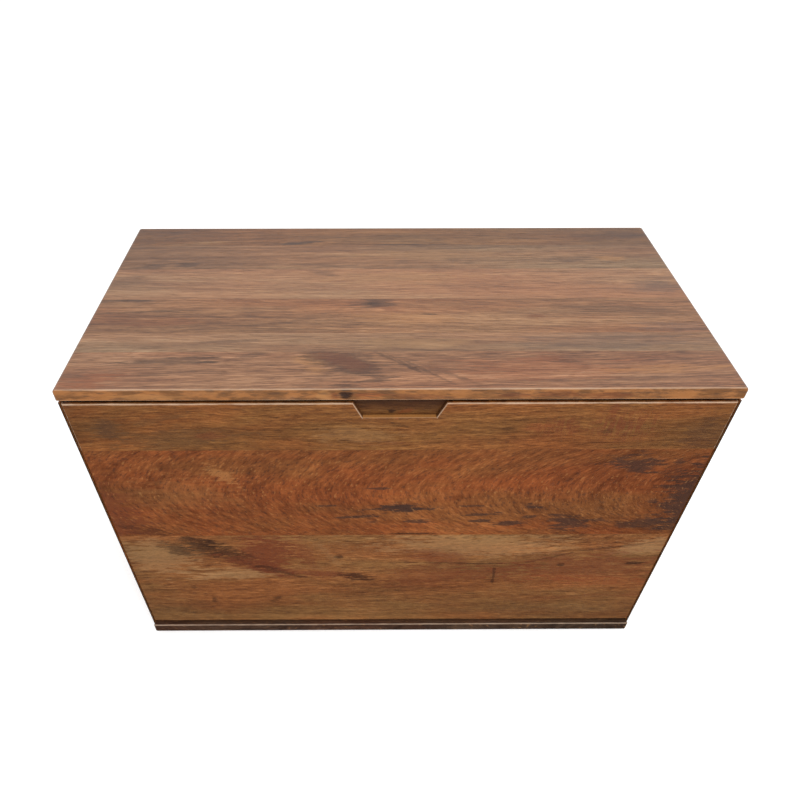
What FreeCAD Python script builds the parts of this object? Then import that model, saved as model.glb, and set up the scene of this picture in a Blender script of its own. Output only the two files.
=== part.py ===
import FreeCAD, Part
import math
import os

import Sketcher
from FreeCAD import Placement, Rotation, Vector

# A wooden toy box: a carcass of edge-glued boards, a lid hinged along its back
# edge, a finger pull sunk into the top of the front panel, and a folding stay at
# each end that holds the lid. Millimetres, +Z up, front towards -Y. The origin is the
# middle of the box's footprint, on the floor.

doc = FreeCAD.newDocument("ToyBox")

# ---------------------------------------------------------------- dimensions
SIZES = [
    # overall
    ("width", 900), ("body_depth", 434), ("total_height", 617),
    ("board", 20), ("base_thick", 22), ("base_proud", 4.5),
    ("glide_high", 3), ("glide_wide", 12), ("glide_inset", 32),
    ("lid_gap", 4.5), ("lid_over", 2.5), ("arris", 2.2), ("end_round", 6),
    # front panel and the rebate that holds it
    ("panel_back", 1), ("panel_drop", 4), ("lip", 1.8), ("lip_gap", 0.6), ("base_gap", 7.5),
    ("notch_top", 125), ("notch_bottom", 99.5), ("notch_high", 27.5), ("notch_into", 8),
    # widths of the glued boards, the last of each set being what is left
    ("lid_strip_a", 78), ("lid_strip_b", 43), ("lid_strip_c", 88),
    ("lid_strip_d", 87), ("lid_strip_e", 77),
    ("front_strip_a", 89), ("front_strip_b", 199.5),
    ("side_strip_a", 150), ("side_strip_b", 205),
    ("back_strip_a", 170), ("back_strip_b", 195),
    ("base_strip", 110),
    # inner frame
    ("post", 28), ("post_short", 10), ("batten_wide", 45), ("batten_thick", 18),
    ("batten_clear", 18), ("batten_at", 235),
    # butt hinges
    ("leaf_long", 64), ("leaf_wide", 17), ("leaf_thick", 2),
    ("knuckle", 3.5), ("knuckle_off", 4), ("knuckle_mid", 24), ("knuckle_play", 0.3),
    ("pin", 2), ("pin_play", 0.05), ("hinge_at", 300), ("leaf_hole_at", 24),
    ("leaf_hole_fore", 2), ("leaf_hole_rear", 1),
    # lid stays
    ("arm_thick", 2.5), ("arm_wide", 15), ("arm_play", 0.3), ("plate_thick", 2),
    ("foot_forward", 110), ("foot_down", 150), ("eye_forward", 230), ("eye_down", 14),
    ("rivet", 2.5), ("rivet_head", 4.6), ("rivet_cap", 1.4),
    ("plate_long", 62), ("plate_wide", 22), ("plate_hole_at", 22),
    ("ear_wide", 24), ("flange_wide", 26), ("flange_long", 46), ("flange_hole_at", 15),
    ("flange_hole_off", 1),
    # screws
    ("screw_head", 3.4), ("screw_shank", 1.6), ("screw_cone", 2), ("screw_clear", 0.2),
    ("slot_long", 4.1), ("slot_wide", 0.7), ("slot_deep", 1.2),
    ("screw_short", 14), ("screw_medium", 32), ("screw_long", 42),
    ("panel_row_first", 60), ("panel_row_pitch", 120),
    ("base_row_first", 45), ("base_row_pitch", 80),
    # the lid's rubber buttons
    ("button", 6), ("button_high", 4.4), ("button_round", 1.5), ("button_behind", 20),
    ("glide_round", 1),
]
BASE_BOARDS = 4
SCREW_ROWS = 5
OVERRUN = 1  # how far a cutting tool runs past what it cuts, in millimetres

sheet = doc.addObject("Spreadsheet::Sheet", "Sizes")
for row, (alias, number) in enumerate(SIZES, start=1):
    sheet.set("A%d" % row, alias)
    sheet.set("B%d" % row, str(number))
    sheet.setAlias("B%d" % row, alias)
doc.recompute()


def size(alias):
    """The value of one cell, for shapes and places worked out in code."""
    return float(sheet.get(alias))


# Places that follow from the driving dimensions, as expressions of the sheet.
FRONT = "(Sizes.base_proud - Sizes.body_depth - Sizes.knuckle_off - Sizes.knuckle) / 2"
BACK = "(%s + Sizes.body_depth)" % FRONT
HALF = "Sizes.width / 2"
BASE_TOP = "(Sizes.glide_high + Sizes.base_thick)"
LID_UNDER = "(Sizes.total_height - Sizes.board)"
BODY_TOP = "(%s - Sizes.lid_gap)" % LID_UNDER
PANEL_TOP = "(%s - Sizes.panel_drop)" % BODY_TOP
LID_FRONT = "(%s - Sizes.lid_over)" % FRONT
PANEL_Y = "(%s + Sizes.panel_back)" % FRONT
INNER_FRONT = "(%s + Sizes.board)" % PANEL_Y
INNER_BACK = "(%s - Sizes.board)" % BACK
INNER_SIDE = "(%s - Sizes.board)" % HALF

half = size("width") / 2
front_y = (size("base_proud") - size("body_depth") - size("knuckle_off") - size("knuckle")) / 2
back_y = front_y + size("body_depth")
base_top = size("glide_high") + size("base_thick")
lid_under = size("total_height") - size("board")
body_top = lid_under - size("lid_gap")
inner_front = front_y + size("panel_back") + size("board")
inner_back = back_y - size("board")
inner_side = half - size("board")
hinge_y = back_y + size("knuckle_off")
hinge_z = body_top + size("lid_gap") / 2

nodes = []


def keep(item, label):
    """Name a finished sub-part and put it on the list that is written out."""
    item.Label = label
    nodes.append(item)
    return item


# ------------------------------------------------------------ general helpers
def new_body(label):
    return doc.addObject("PartDesign::Body", label)


def new_sketch(body, role, name):
    """A sketch on one of the body's own origin planes."""
    plane = [item for item in body.Origin.OriginFeatures if item.Role == role][0]
    sketch = body.newObject("Sketcher::SketchObject", name)
    sketch.AttachmentSupport = [(plane, "")]
    sketch.MapMode = "FlatFace"
    return sketch


def place(item, x, y, z):
    """Bind the item's position to expressions of the sheet."""
    for axis, text in zip("xyz", (x, y, z)):
        item.setExpression("Placement.Base.%s" % axis, text)


def outline(sketch, corners):
    """A closed polygon whose corners are held by distances bound to the sheet.

    Each corner is a pair of expressions measured from the sketch's origin.
    """
    points = [Vector(number(u), number(v), 0) for u, v in corners]
    count = len(points)
    for start in range(count):
        sketch.addGeometry(Part.LineSegment(points[start], points[(start + 1) % count]), False)
    for start in range(count):
        following = (start + 1) % count
        sketch.addConstraint(Sketcher.Constraint("Coincident", start, 2, following, 1))
    for corner, pair in enumerate(corners):
        for kind, text in zip(("DistanceX", "DistanceY"), pair):
            hold(sketch, kind, corner, text)


def hold(sketch, kind, corner, text):
    """Hold one coordinate of a corner at an expression's value."""
    value = number(text)
    if abs(value) < 1e-9:
        along = 1 if kind == "DistanceX" else 2
        axis = -2 if along == 1 else -1
        sketch.addConstraint(Sketcher.Constraint("PointOnObject", corner, 1, axis))
        return
    index = sketch.addConstraint(Sketcher.Constraint(kind, -1, 1, corner, 1, value))
    name = "%s_%d" % ("along" if kind == "DistanceX" else "up", corner)
    sketch.renameConstraint(index, name)
    sketch.setExpression("Constraints.%s" % name, text)


def number(text):
    """Evaluate an expression of sheet cells with the sheet's own numbers."""
    return float(sheet.evalExpression(text))


def pad(body, sketch, length, name="Pad", reverse=False):
    feature = body.newObject("PartDesign::Pad", name)
    feature.Profile = sketch
    feature.setExpression("Length", length)
    feature.Reversed = reverse
    doc.recompute()
    return feature


def pocket(body, sketch, name, depth=None):
    """Cut a profile to a depth, or right through both ways, and see that it did."""
    before = body.Shape.Volume
    feature = body.newObject("PartDesign::Pocket", name)
    feature.Profile = sketch
    if depth:
        feature.setExpression("Length", depth)
    else:
        feature.Type = "ThroughAll"
        feature.Midplane = True
    doc.recompute()
    if body.Shape.Volume >= before - 0.1:
        raise RuntimeError("%s cut nothing" % name)
    return feature


def edges_at(shape, corners):
    """Names of the edges that lie on two sides of the shape's box, as in 'z+x-'."""
    box = shape.BoundBox
    limits = {"x-": box.XMin, "x+": box.XMax, "y-": box.YMin, "y+": box.YMax,
              "z-": box.ZMin, "z+": box.ZMax}
    spans = {"x": ("XMin", "XMax"), "y": ("YMin", "YMax"), "z": ("ZMin", "ZMax")}

    def on(edge, side):
        low, high = spans[side[0]]
        ends = (getattr(edge.BoundBox, low), getattr(edge.BoundBox, high))
        return all(abs(end - limits[side]) < 0.05 for end in ends)

    found = []
    for index, edge in enumerate(shape.Edges, start=1):
        for corner in corners:
            if on(edge, corner[:2]) and on(edge, corner[2:]):
                found.append("Edge%d" % index)
                break
    return found


def ease(body, corners, radius="Sizes.arris", name="Arris"):
    """Round the named arrises of a body."""
    base = body.Tip
    feature = body.newObject("PartDesign::Fillet", name)
    feature.Base = (base, edges_at(base.Shape, corners))
    feature.setExpression("Radius", radius)
    doc.recompute()
    return feature


def board(label, lengths, at, rounds=(), ends=()):
    """A plank: a rectangle padded to its thickness, with its outer arrises eased."""
    along_x, along_y, along_z = lengths
    body = new_body(label)
    sketch = new_sketch(body, "XY_Plane", "Outline")
    outline(sketch, [("0", "0"), (along_x, "0"), (along_x, along_y), ("0", along_y)])
    pad(body, sketch, along_z)
    if ends:
        ease(body, ends, "Sizes.end_round", "RolledEnd")
    if rounds:
        ease(body, rounds)
    place(body, *at)
    return keep(body, label)


def mirrored(source, label):
    """The same piece on the other side of the box."""
    item = doc.addObject("Part::Mirroring", label)
    item.Source = source
    item.Normal = Vector(1, 0, 0)
    item.Base = Vector(0, 0, 0)
    return keep(item, label)


def cylinder(name, radius, height, at, axis=Vector(0, 0, 1)):
    item = doc.addObject("Part::Cylinder", name)
    item.setExpression("Radius", radius)
    item.setExpression("Height", height)
    item.Placement = Placement(at, Rotation(Vector(0, 0, 1), axis))
    return item


def countersink(name, at, axis):
    """The space of one screw head and its clearance hole through thin metal."""
    item = doc.addObject("Part::Cone", name)
    item.setExpression("Radius1", "Sizes.screw_head")
    item.setExpression("Radius2", "Sizes.screw_shank + Sizes.screw_clear")
    item.setExpression("Height", "Sizes.leaf_thick")
    item.Placement = Placement(at, Rotation(Vector(0, 0, 1), axis))
    return item


def rounded(name, base, radius, corners):
    """A primitive with its named rims rounded."""
    doc.recompute()
    item = doc.addObject("Part::Fillet", name)
    item.Base = base
    item.Edges = [(int(edge[4:]), radius, radius) for edge in edges_at(base.Shape, corners)]
    return item


def fuse(name, shapes):
    item = doc.addObject("Part::MultiFuse", name)
    item.Shapes = shapes
    return item


def cut(name, base, tools):
    """The base less all the tools."""
    item = doc.addObject("Part::Cut", name)
    item.Base = base
    item.Tool = fuse(name + "_tools", tools) if len(tools) > 1 else tools[0]
    return item


def group(label, master, spots):
    """Identical small pieces as one node: copies of a master at each spot."""
    doc.recompute()
    copies = []
    for point, axis in spots:
        copy = master.Shape.copy()
        copy.Placement = Placement(point, Rotation(Vector(0, 0, 1), axis))
        copies.append(copy)
    item = doc.addObject("Part::Feature", label)
    item.Shape = Part.makeCompound(copies)
    return keep(item, label)


# ---------------------------------------------------------------- the carcass
def base_boards():
    """Four boards glued edge to edge: the floor of the box, proud at the front."""
    depth = "(Sizes.body_depth + Sizes.base_proud)"
    start = "(%s - Sizes.base_proud)" % FRONT
    last = BASE_BOARDS - 1
    for index in range(BASE_BOARDS):
        wide = "Sizes.base_strip" if index < last else "(%s - %d * Sizes.base_strip)" % (depth, last)
        rounds = ["z+x-", "z+x+", "z-x-", "z-x+"]
        if index == 0:
            rounds += ["y-z+", "y-z-", "y-x-", "y-x+"]
        if index == last:
            rounds += ["y+z+", "y+z-", "y+x-", "y+x+"]
        board("base_board_%d" % (index + 1), ("Sizes.width", wide, "Sizes.base_thick"),
              ("-%s" % HALF, "%s + %d * Sizes.base_strip" % (start, index), "Sizes.glide_high"),
              rounds)


def side_boards():
    """Three boards to a side, rebated at the front so that a thin lip shows."""
    high = "(%s - %s)" % (BODY_TOP, BASE_TOP)
    rest = "(%s - Sizes.side_strip_a - Sizes.side_strip_b)" % high
    strips = [("lower", "Sizes.side_strip_a", "0"),
              ("middle", "Sizes.side_strip_b", "Sizes.side_strip_a"),
              ("upper", rest, "(Sizes.side_strip_a + Sizes.side_strip_b)")]
    rebate = "Sizes.panel_back + Sizes.board"
    for name, wide, up in strips:
        label = "side_board_left_%s" % name
        body = new_body(label)
        sketch = new_sketch(body, "XY_Plane", "Section")
        outline(sketch, [("0", "0"), ("Sizes.lip", "0"), ("Sizes.lip", rebate),
                         ("Sizes.board", rebate), ("Sizes.board", "Sizes.body_depth"),
                         ("0", "Sizes.body_depth")])
        pad(body, sketch, wide)
        thin = ["x-y-"]
        if name == "upper":
            thin += ["x-z+", "x+z+"]
        ease(body, thin, "Sizes.lip / 2", "LipArris")
        ease(body, ["x-y+"])
        place(body, "-%s" % HALF, FRONT, "%s + %s" % (BASE_TOP, up))
        keep(body, label)
        mirrored(body, "side_board_right_%s" % name)


def front_boards():
    """The front panel's three boards. The top one has the finger pull, a recess open at the top."""
    end = "Sizes.lip + Sizes.lip_gap"
    long = "(Sizes.width - 2 * (%s))" % end
    bottom = "(%s + Sizes.base_gap)" % BASE_TOP
    lower = "(%s - %s - Sizes.front_strip_a - Sizes.front_strip_b)" % (PANEL_TOP, bottom)
    left = "-%s + %s" % (HALF, end)
    board("front_board_lower", (long, "Sizes.board", lower), (left, PANEL_Y, bottom),
          ["y-x-", "y-x+", "y-z-"])
    board("front_board_middle", (long, "Sizes.board", "Sizes.front_strip_b"),
          (left, PANEL_Y, "%s + %s" % (bottom, lower)), ["y-x-", "y-x+"])

    body = new_body("front_board_upper")
    sketch = new_sketch(body, "XZ_Plane", "Outline")
    edge = "%s / 2" % long
    top = "Sizes.front_strip_a"
    outline(sketch, [("-%s" % edge, "0"), (edge, "0"), (edge, top), ("-%s" % edge, top)])
    pad(body, sketch, "Sizes.board", reverse=True)
    recess = new_sketch(body, "XZ_Plane", "FingerPull")
    floor = "(Sizes.front_strip_a - Sizes.notch_high)"
    outline(recess, [("-Sizes.notch_top / 2", top), ("-Sizes.notch_bottom / 2", floor),
                     ("Sizes.notch_bottom / 2", floor), ("Sizes.notch_top / 2", top)])
    cut_out = pocket(body, recess, "FingerPullCut", "Sizes.notch_into")
    seam = edges_at(cut_out.Shape, ["y-z-"])
    names = []
    for index, line in enumerate(cut_out.Shape.Edges, start=1):
        flat = line.BoundBox.YMax - cut_out.Shape.BoundBox.YMin < 0.05
        if flat and "Edge%d" % index not in seam:
            names.append("Edge%d" % index)
    arris = body.newObject("PartDesign::Fillet", "FrontArris")
    arris.Base = (cut_out, names)
    arris.setExpression("Radius", "Sizes.arris")
    doc.recompute()
    place(body, "0", PANEL_Y, "%s - Sizes.front_strip_a" % PANEL_TOP)
    keep(body, "front_board_upper")


def back_boards():
    """Three boards between the sides."""
    high = "(%s - %s)" % (BODY_TOP, BASE_TOP)
    rest = "(%s - Sizes.back_strip_a - Sizes.back_strip_b)" % high
    long = "2 * %s" % INNER_SIDE
    strips = [("lower", "Sizes.back_strip_a", "0", ()),
              ("middle", "Sizes.back_strip_b", "Sizes.back_strip_a", ()),
              ("upper", rest, "(Sizes.back_strip_a + Sizes.back_strip_b)", ["y+z+", "y-z+"])]
    for name, wide, up, rounds in strips:
        board("back_board_%s" % name, (long, "Sizes.board", wide),
              ("-%s" % INNER_SIDE, INNER_BACK, "%s + %s" % (BASE_TOP, up)), rounds)


def corner_posts():
    """Square posts in the four inner corners, glued and screwed to the boards."""
    high = "(%s - %s - Sizes.post_short)" % (BODY_TOP, BASE_TOP)
    side = ("Sizes.post", "Sizes.post", high)
    front = board("corner_post_front_left", side,
                  ("-%s" % INNER_SIDE, INNER_FRONT, BASE_TOP), ["x+y+", "x+z+", "y+z+"])
    back = board("corner_post_back_left", side,
                 ("-%s" % INNER_SIDE, "%s - Sizes.post" % INNER_BACK, BASE_TOP),
                 ["x+y-", "x+z+", "y-z+"])
    mirrored(front, "corner_post_front_right")
    mirrored(back, "corner_post_back_right")


# -------------------------------------------------------------------- the lid
def lid_boards():
    """Six boards glued edge to edge, with rolled ends and eased long arrises."""
    strips = ["Sizes.lid_strip_%s" % letter for letter in "abcde"]
    strips.append("(Sizes.body_depth + Sizes.lid_over - %s)" % " - ".join(strips))
    before = "0"
    for index, wide in enumerate(strips):
        rounds = ["z-x-", "z-x+"]
        if index == 0:
            rounds += ["y-z+", "y-z-"]
        if index == len(strips) - 1:
            rounds += ["y+z+", "y+z-"]
        board("lid_board_%d" % (index + 1), ("Sizes.width", wide, "Sizes.board"),
              ("-%s" % HALF, "%s + %s" % (LID_FRONT, before), LID_UNDER), rounds,
              ends=["z+x-", "z+x+"])
        before = "%s + %s" % (before, wide)


def lid_battens():
    """Two cross battens that keep the lid flat."""
    long = "(%s - %s - 2 * Sizes.batten_clear)" % (INNER_BACK, INNER_FRONT)
    left = board("lid_batten_left", ("Sizes.batten_wide", long, "Sizes.batten_thick"),
                 ("-Sizes.batten_at - Sizes.batten_wide / 2", "%s + Sizes.batten_clear" % INNER_FRONT,
                  "%s - Sizes.batten_thick" % LID_UNDER), ["z-x-", "z-x+", "z-y-", "z-y+"])
    mirrored(left, "lid_batten_right")


# ------------------------------------------------------------------ the hinges
def hinge_leaf(name, at_x, lid_side):
    """One leaf of a butt hinge: a plate, its knuckles, the pin's bore, screw holes."""
    way = 1 if lid_side else -1
    thick = size("leaf_thick")
    low = lid_under - thick if lid_side else body_top
    plate = doc.addObject("Part::Box", name + "_plate")
    plate.setExpression("Length", "Sizes.leaf_long")
    plate.setExpression("Width", "Sizes.leaf_wide + Sizes.knuckle_off")
    plate.setExpression("Height", "Sizes.leaf_thick")
    plate.Placement.Base = Vector(at_x - size("leaf_long") / 2, back_y - size("leaf_wide"), low)

    along = Vector(1, 0, 0)
    play = size("knuckle_play")
    inner = size("knuckle_mid") / 2
    outer = size("leaf_long") / 2
    end = "(Sizes.leaf_long - Sizes.knuckle_mid) / 2"
    if lid_side:
        spans = [(play - inner, "Sizes.knuckle_mid - 2 * Sizes.knuckle_play")]
        clear = "%s + Sizes.knuckle_play + %d" % (end, OVERRUN)
        rooms = [(-outer - OVERRUN, clear), (inner - play, clear)]
    else:
        spans = [(-outer, end), (inner, end)]
        rooms = [(-inner, "Sizes.knuckle_mid")]
    knuckles = []
    for index, (start, length) in enumerate(spans):
        at = Vector(at_x + start, hinge_y, hinge_z)
        knuckles.append(cylinder("%s_knuckle_%d" % (name, index), "Sizes.knuckle", length, at, along))
    tools = []
    # room round the other leaf's knuckles
    for index, (start, length) in enumerate(rooms):
        at = Vector(at_x + start, hinge_y, hinge_z)
        tools.append(cylinder("%s_room_%d" % (name, index), "Sizes.knuckle + Sizes.knuckle_play",
                              length, at, along))
    bore = "Sizes.pin + Sizes.pin_play" if lid_side else "Sizes.pin"
    start = Vector(at_x - outer - OVERRUN, hinge_y, hinge_z)
    tools.append(cylinder(name + "_bore", bore, "Sizes.leaf_long + %d" % (2 * OVERRUN), start, along))
    face = low if lid_side else low + thick
    for index, spot in enumerate(hinge_holes(at_x)):
        tools.append(countersink("%s_hole_%d" % (name, index), Vector(spot[0], spot[1], face),
                                 Vector(0, 0, way)))
    return keep(cut(name + "_cut", fuse(name + "_blank", [plate] + knuckles), tools), name)


def hinge_holes(at_x):
    """Where a leaf's three screws go."""
    middle = back_y - size("leaf_wide") / 2
    reach = size("leaf_hole_at")
    fore = middle - size("leaf_hole_fore")
    rear = middle + size("leaf_hole_rear")
    return [(at_x - reach, fore), (at_x, rear), (at_x + reach, fore)]


def hinges():
    """A butt hinge near each end, between the back board and the lid."""
    at_x = -size("hinge_at")
    fixed = hinge_leaf("hinge_leaf_body_left", at_x, False)
    moving = hinge_leaf("hinge_leaf_lid_left", at_x, True)
    start = Vector(at_x - size("leaf_long") / 2, hinge_y, hinge_z)
    pin = keep(cylinder("hinge_pin_left_rod", "Sizes.pin", "Sizes.leaf_long", start,
                        Vector(1, 0, 0)), "hinge_pin_left")
    mirrored(fixed, "hinge_leaf_body_right")
    mirrored(moving, "hinge_leaf_lid_right")
    mirrored(pin, "hinge_pin_right")


# ------------------------------------------------------------------- the stays
# The hinge pin, the stay's foot, its elbow and its eye on the lid are the corners
# of a parallelogram, so the lower arm turns exactly as the lid does and the
# upper arm keeps its direction.
foot = Vector(0, hinge_y - size("foot_forward"), hinge_z - size("foot_down"))
eye = Vector(0, hinge_y - size("eye_forward"), hinge_z - size("eye_down"))
elbow = Vector(0, foot.y + eye.y - hinge_y, foot.z + eye.z - hinge_z)
plate_x = -inner_side
lower_x = plate_x + size("plate_thick") + size("arm_play")
upper_x = lower_x + size("arm_thick") + size("arm_play")
ear_x = upper_x + size("arm_thick") + size("arm_play")

LOWER_LONG = "sqrt(Sizes.eye_forward ^ 2 + Sizes.eye_down ^ 2)"
UPPER_LONG = "sqrt(Sizes.foot_forward ^ 2 + Sizes.foot_down ^ 2)"


def stay_arm(label, long, start, end, at_x, holes):
    """A flat bar with round ends and a pivot hole at each, from start to end."""
    body = new_body(label)
    sketch = new_sketch(body, "YZ_Plane", "Bar")
    reach = number(long)
    side = size("arm_wide") / 2
    quarter = math.pi / 2
    up = Vector(0, 0, 1)
    sketch.addGeometry(Part.LineSegment(Vector(0, side, 0), Vector(reach, side, 0)), False)
    sketch.addGeometry(Part.ArcOfCircle(Part.Circle(Vector(reach, 0, 0), up, side),
                                        -quarter, quarter), False)
    sketch.addGeometry(Part.LineSegment(Vector(reach, -side, 0), Vector(0, -side, 0)), False)
    sketch.addGeometry(Part.ArcOfCircle(Part.Circle(Vector(0, 0, 0), up, side),
                                        quarter, 3 * quarter), False)
    for first, point, second, other in ((0, 2, 1, 2), (1, 1, 2, 1), (2, 2, 3, 2), (3, 1, 0, 1)):
        sketch.addConstraint(Sketcher.Constraint("Tangent", first, point, second, other))
    sketch.addConstraint(Sketcher.Constraint("Coincident", 3, 3, -1, 1))
    sketch.addConstraint(Sketcher.Constraint("PointOnObject", 1, 3, -1))
    for name, kind in (("reach", ("DistanceX", -1, 1, 1, 3, reach)), ("round", ("Radius", 3, side))):
        sketch.renameConstraint(sketch.addConstraint(Sketcher.Constraint(*kind)), name)
    sketch.setExpression("Constraints.reach", long)
    sketch.setExpression("Constraints.round", "Sizes.arm_wide / 2")
    pad(body, sketch, "Sizes.arm_thick", "Bar_pad")

    for index, radius in enumerate(holes):
        drill = new_sketch(body, "YZ_Plane", "Pivot_%d" % index)
        centre = Vector(reach * index, 0, 0)
        drill.addGeometry(Part.Circle(centre, up, number(radius)), False)
        ring = drill.addConstraint(Sketcher.Constraint("Radius", 0, number(radius)))
        drill.renameConstraint(ring, "hole")
        drill.setExpression("Constraints.hole", radius)
        if index:
            drill.addConstraint(Sketcher.Constraint("PointOnObject", 0, 3, -1))
            away = drill.addConstraint(Sketcher.Constraint("DistanceX", -1, 1, 0, 3, reach))
            drill.renameConstraint(away, "away")
            drill.setExpression("Constraints.away", long)
        else:
            drill.addConstraint(Sketcher.Constraint("Coincident", 0, 3, -1, 1))
        pocket(body, drill, "Pivot_%d_cut" % index)
    run = end - start
    tilt = math.degrees(math.atan2(run.z, run.y))
    body.Placement = Placement(Vector(at_x, start.y, start.z), Rotation(Vector(1, 0, 0), tilt))
    return keep(body, label)


def stay_rivet(label, at, start_x, span, heads):
    """A rivet along X: a shank through the joint, and heads given by place and outer side."""
    along = Vector(1, 0, 0)
    pieces = [cylinder(label + "_shank", "Sizes.rivet", "%.2f" % span,
                       Vector(start_x, at.y, at.z), along)]
    for index, (head_x, outer) in enumerate(heads):
        head = cylinder("%s_head_%d" % (label, index), "Sizes.rivet_head", "Sizes.rivet_cap",
                        Vector(head_x, at.y, at.z), along)
        pieces.append(rounded("%s_rim_%d" % (label, index), head, size("rivet_cap") / 2, [outer * 2]))
    return keep(fuse(label + "_whole", pieces), label)


def stay_brackets():
    """The plate on the side board and the angle under the lid."""
    label = "stay_plate_left"
    body = new_body(label + "_blank")
    sketch = new_sketch(body, "YZ_Plane", "Plate")
    long, wide = "Sizes.plate_long / 2", "Sizes.plate_wide / 2"
    outline(sketch, [("-%s" % wide, "-%s" % long), (wide, "-%s" % long), (wide, long),
                     ("-%s" % wide, long)])
    pad(body, sketch, "Sizes.plate_thick")
    ease(body, ["y-z-", "y-z+", "y+z-", "y+z+"], "Sizes.plate_wide / 4", "Corners")
    body.Placement.Base = Vector(plate_x, foot.y, foot.z)
    doc.recompute()
    holes = []
    for way in (-1, 1):
        spot = Vector(plate_x + size("plate_thick"), foot.y, foot.z + way * size("plate_hole_at"))
        holes.append(countersink("%s_hole_%d" % (label, way + 1), spot, Vector(-1, 0, 0)))
    through = "Sizes.plate_thick + %d" % (2 * OVERRUN)
    holes.append(cylinder(label + "_pivot", "Sizes.rivet", through,
                          Vector(plate_x - OVERRUN, foot.y, foot.z), Vector(1, 0, 0)))
    plate = keep(cut(label + "_cut", body, holes), label)

    label = "stay_angle_left"
    ear = doc.addObject("Part::Box", label + "_ear")
    ear.setExpression("Length", "Sizes.plate_thick")
    ear.setExpression("Width", "Sizes.ear_wide")
    ear.setExpression("Height", "Sizes.lid_gap / 2 + Sizes.eye_down")
    ear.Placement.Base = Vector(ear_x, eye.y - size("ear_wide") / 2, eye.z)
    tip = cylinder(label + "_tip", "Sizes.ear_wide / 2", "Sizes.plate_thick",
                   Vector(ear_x, eye.y, eye.z), Vector(1, 0, 0))
    flange = doc.addObject("Part::Box", label + "_flange")
    flange.setExpression("Length", "Sizes.flange_wide")
    flange.setExpression("Width", "Sizes.flange_long")
    flange.setExpression("Height", "Sizes.plate_thick")
    flange.Placement.Base = Vector(ear_x, eye.y - size("flange_long") / 2,
                                   lid_under - size("plate_thick"))
    tools = [cylinder(label + "_pivot", "Sizes.rivet", through,
                      Vector(ear_x - OVERRUN, eye.y, eye.z), Vector(1, 0, 0))]
    for index, (spot_x, spot_y) in enumerate(angle_holes()):
        spot = Vector(spot_x, spot_y, lid_under - size("plate_thick"))
        tools.append(countersink("%s_hole_%d" % (label, index), spot, Vector(0, 0, 1)))
    angle = keep(cut(label + "_cut", fuse(label + "_blank", [ear, tip, flange]), tools), label)
    return [plate, angle]


def angle_holes():
    """Where the lid angle's two screws go."""
    middle = ear_x + size("flange_wide") / 2 + size("flange_hole_off")
    reach = size("flange_hole_at")
    return [(middle, eye.y - reach), (middle, eye.y + reach)]


def lid_stays():
    """A folding stay at each end of the lid."""
    plate = size("plate_thick")
    thick = size("arm_thick")
    play = size("arm_play")
    snug = "Sizes.rivet"
    loose = "Sizes.rivet + Sizes.pin_play"
    open_pivot = "Sizes.rivet + Sizes.arm_play"
    left = stay_brackets()
    left.append(stay_arm("stay_lower_arm_left", LOWER_LONG, foot, elbow, lower_x, (loose, snug)))
    left.append(stay_arm("stay_upper_arm_left", UPPER_LONG, elbow, eye, upper_x,
                         (loose, open_pivot)))
    left.append(stay_rivet("stay_foot_rivet_left", foot, plate_x, plate + thick + 2 * play,
                           [(lower_x + thick + play, "x+")]))
    left.append(stay_rivet("stay_elbow_rivet_left", elbow, lower_x, 2 * thick + 2 * play,
                           [(upper_x + thick + play, "x+")]))
    left.append(stay_rivet("stay_eye_rivet_left", eye, upper_x - play, plate + thick + 2 * play,
                           [(upper_x - play - size("rivet_cap"), "x-"), (ear_x + plate, "x+")]))
    for item in left:
        mirrored(item, item.Label.replace("_left", "_right"))


# ------------------------------------------------------- screws, buttons, feet
def wood_screw(name, length):
    """A countersunk screw with its head's face at the origin, pointing along +Z."""
    head = doc.addObject("Part::Cone", name + "_head")
    head.setExpression("Radius1", "Sizes.screw_head")
    head.setExpression("Radius2", "Sizes.screw_shank")
    head.setExpression("Height", "Sizes.screw_cone")
    shank = cylinder(name + "_shank", "Sizes.screw_shank", length, Vector(0, 0, 0))
    slots = []
    for turn in (0, 90):
        slot = doc.addObject("Part::Box", "%s_slot_%d" % (name, turn))
        slot.setExpression("Length", "Sizes.slot_long")
        slot.setExpression("Width", "Sizes.slot_wide")
        slot.setExpression("Height", "Sizes.slot_deep")
        turned = Rotation(Vector(0, 0, 1), turn)
        corner = Vector(-size("slot_long") / 2, -size("slot_wide") / 2, 0)
        slot.Placement = Placement(turned.multVec(corner), turned)
        slots.append(slot)
    return cut(name, fuse(name + "_blank", [head, shank]), slots)


def both_ends(spots):
    """The spots and their mirror images across the middle of the box."""
    other = [(Vector(-point.x, point.y, point.z), Vector(-axis.x, axis.y, axis.z))
             for point, axis in spots]
    return spots + other


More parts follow.
